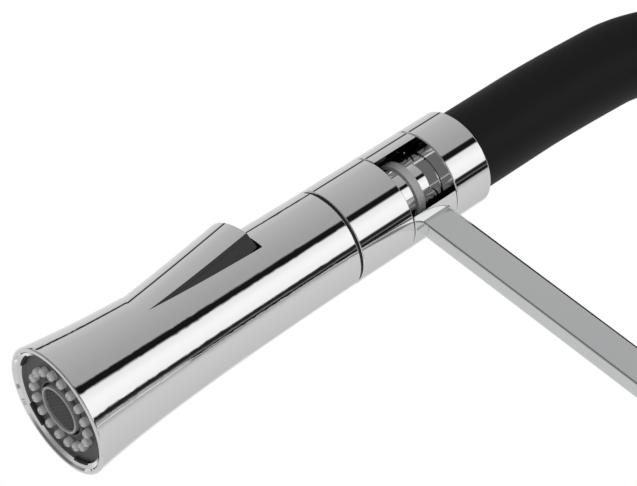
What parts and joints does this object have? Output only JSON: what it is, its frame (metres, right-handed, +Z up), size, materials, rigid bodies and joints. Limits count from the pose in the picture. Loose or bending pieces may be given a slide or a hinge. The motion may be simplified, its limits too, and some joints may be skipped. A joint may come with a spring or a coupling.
{
  "type": "mixer tap",
  "caption": "Tall chrome kitchen mixer tap with a side lever and a trumpet-shaped pull-out spray head on a black hose, held in an open cradle at the end of a square arm.",
  "frame": {"origin": "centre of the base where it stands on the worktop", "axes": "+Z up along the column, -Y along the arm towards the spray head, +X towards the lever"},
  "size_m": [0.093, 0.2875, 0.6485],
  "materials": {
    "chrome": "polished chrome plate",
    "hose_black": "soft matt black",
    "black_plastic": "moulded, fine matt",
    "black_rubber": "matt",
    "grey_rubber": "satin silicone",
    "steel": "plain stainless",
    "brass": "turned",
    "ceramic": "lapped",
    "index_grey": "plain plug"
  },
  "bodies": {
    "base": {"body": "chrome", "thrust_washer": "black_plastic", "swivel_trim": "chrome", "stop_screw": "steel", "base_flange": "chrome", "base_gasket": "black_rubber", "shank": "brass", "deck_rubber": "black_rubber", "deck_plate": "steel", "lock_nut": "brass", "cartridge_seal": "black_rubber", "cartridge_housing": "black_plastic", "fixed_disc": "ceramic", "cartridge_nut": "brass", "dome_cover": "chrome"},
    "riser": {"column": "chrome", "column_seals": "black_rubber", "column_plug": "black_plastic", "feed_tube": "brass", "column_ferrule": "chrome", "column_nipple": "brass", "hose": "hose_black", "cradle": "chrome", "cradle_liner": "black_plastic", "arm": "chrome", "column_clamp": "chrome", "arm_screws": "steel", "clamp_screw": "steel"},
    "hose_end": {"hose_collar": "chrome", "swivel_bush": "black_plastic", "head_nipple": "brass"},
    "spray": {"spray_shell": "chrome", "waterway_core": "black_plastic", "rocker_pin": "steel", "rocker_spring": "steel", "rear_sleeve": "chrome", "seam_gasket": "black_rubber", "neck": "chrome", "neck_ring": "grey_rubber", "neck_clip": "steel", "inlet_seal": "black_rubber", "check_valve": "black_plastic", "jet_plate": "black_plastic", "jet_mat": "grey_rubber", "nozzle_carrier": "black_plastic", "aerator_ring": "chrome", "aerator_screen": "black_plastic"},
    "rocker": {"rocker": "chrome", "rocker_body": "black_plastic"},
    "plunger": {"diverter_plunger": "brass", "plunger_seal": "black_rubber"},
    "mixer_carrier": {"stem_guide": "black_plastic", "stem_pin": "steel"},
    "lever": {"lever_hub": "chrome", "lever_stem": "steel", "lever": "chrome", "lever_grub": "steel", "index_cap": "index_grey"},
    "sliding_disc": {"sliding_disc": "ceramic"}
  },
  "joints": [
    {"name": "riser_swivel", "type": "hinge", "parent": "base", "child": "riser", "pos_m": [0, 0, 0.16], "axis": [0, 0, 1], "continuous": true},
    {"name": "spray_undock", "type": "slide", "parent": "riser", "child": "hose_end", "axis": [0.8771, 0.4802, 0], "range_m": [0, 0.045], "deforming": ["hose"]},
    {"name": "spray_turn", "type": "hinge", "parent": "hose_end", "child": "spray", "pos_m": [0, -0.24, 0.38], "axis": [0, 0, 1], "continuous": true},
    {"name": "rocker_press", "type": "hinge", "parent": "spray", "child": "rocker", "pos_m": [0.00716, -0.24768, 0.29475], "axis": [-0.7314, -0.682, 0], "range_deg": [0, 8.4], "stiffness_Nm_per_rad": 0.3, "springref_deg": -2.86, "deforming": ["rocker_spring"]},
    {"name": "plunger_slide", "type": "slide", "parent": "spray", "child": "plunger", "axis": [-0.682, 0.7314, 0], "range_m": [0, 0.0025]},
    {"name": "lever_turn", "type": "hinge", "parent": "base", "child": "mixer_carrier", "pos_m": [0.028, 0, 0.095], "axis": [1, 0, 0], "range_deg": [-45, 45]},
    {"name": "lever_lift", "type": "hinge", "parent": "mixer_carrier", "child": "lever", "pos_m": [0.028, 0, 0.095], "axis": [0, 1, 0], "range_deg": [0, 20]},
    {"name": "disc_slide", "type": "slide", "parent": "mixer_carrier", "child": "sliding_disc", "axis": [0, 0, 1], "range_m": [0, 0.0034]}
  ],
  "couplings": [
    {"joint": "plunger_slide", "follows": "rocker_press", "m_per_rad": 0.0168},
    {"joint": "disc_slide", "follows": "lever_lift", "m_per_rad": 0.0094}
  ]
}
